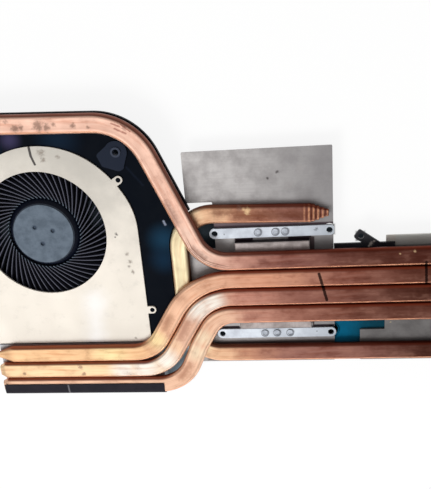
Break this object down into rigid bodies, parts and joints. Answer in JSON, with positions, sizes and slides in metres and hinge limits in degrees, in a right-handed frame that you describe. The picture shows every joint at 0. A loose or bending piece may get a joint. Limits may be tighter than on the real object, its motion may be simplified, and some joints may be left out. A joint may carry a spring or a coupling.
{
  "type": "laptop cooling fan heatsink",
  "caption": "Flat laptop cooling module: a blower fan and fin stack joined by bent flattened heat pipes to sprung processor and graphics contact plates.",
  "frame": {"origin": "middle of the processor's contact face, under the processor block", "axes": "+X along the pipes away from the fan, +Y toward the upper pipe's fan run, +Z off the board"},
  "size_m": [0.2148, 0.1227, 0.0132],
  "materials": {
    "frame_plastic": "black moulded plastic",
    "cover_sheet": "pale matte sheet metal",
    "wheel_plastic": "slate moulded plastic",
    "pipe_copper": "bare copper with smudges",
    "fin_aluminium": "bare folded sheet",
    "edge_tape": "black tape",
    "plate_aluminium": "grey matte sheet",
    "block_plating": "plated copper",
    "arm_steel": "bright spring steel",
    "black_steel": "black coated steel",
    "soft_pad": "soft teal sheet",
    "bearing_bronze": "sintered bronze",
    "motor_steel": "plain steel",
    "coil_wire": "enamelled wire",
    "board_laminate": "green laminate",
    "magnet_ferrite": "dark ferrite"
  },
  "bodies": {
    "heatsink": {"fan_frame": "frame_plastic", "fan_cover": "cover_sheet", "bearing_sleeve": "bearing_bronze", "stator_core": "motor_steel", "stator_coils": "coil_wire", "motor_board": "board_laminate", "fin_stack": "fin_aluminium", "fin_edge_tape": "edge_tape", "base_plate": "plate_aluminium", "second_plate": "plate_aluminium", "processor_block": "block_plating", "second_block": "block_plating", "upper_spring_arm": "arm_steel", "lower_spring_arm": "arm_steel", "arm_rivets": "arm_steel", "side_bracket": "black_steel", "far_bracket": "black_steel", "memory_pad": "soft_pad", "regulator_pad": "soft_pad", "upper_heat_pipe": "pipe_copper", "inner_fin_pipe": "pipe_copper", "middle_fin_pipe": "pipe_copper", "outer_fin_pipe": "pipe_copper", "loop_heat_pipe": "pipe_copper"},
    "rotor": {"impeller": "wheel_plastic", "rotor_cup": "motor_steel", "rotor_magnet": "magnet_ferrite", "rotor_shaft": "motor_steel"}
  },
  "joints": [
    {"name": "fan_spin", "type": "hinge", "parent": "heatsink", "child": "rotor", "pos_m": [-0.0898, 0.0253, 0], "axis": [0, 0, 1], "continuous": true}
  ]
}
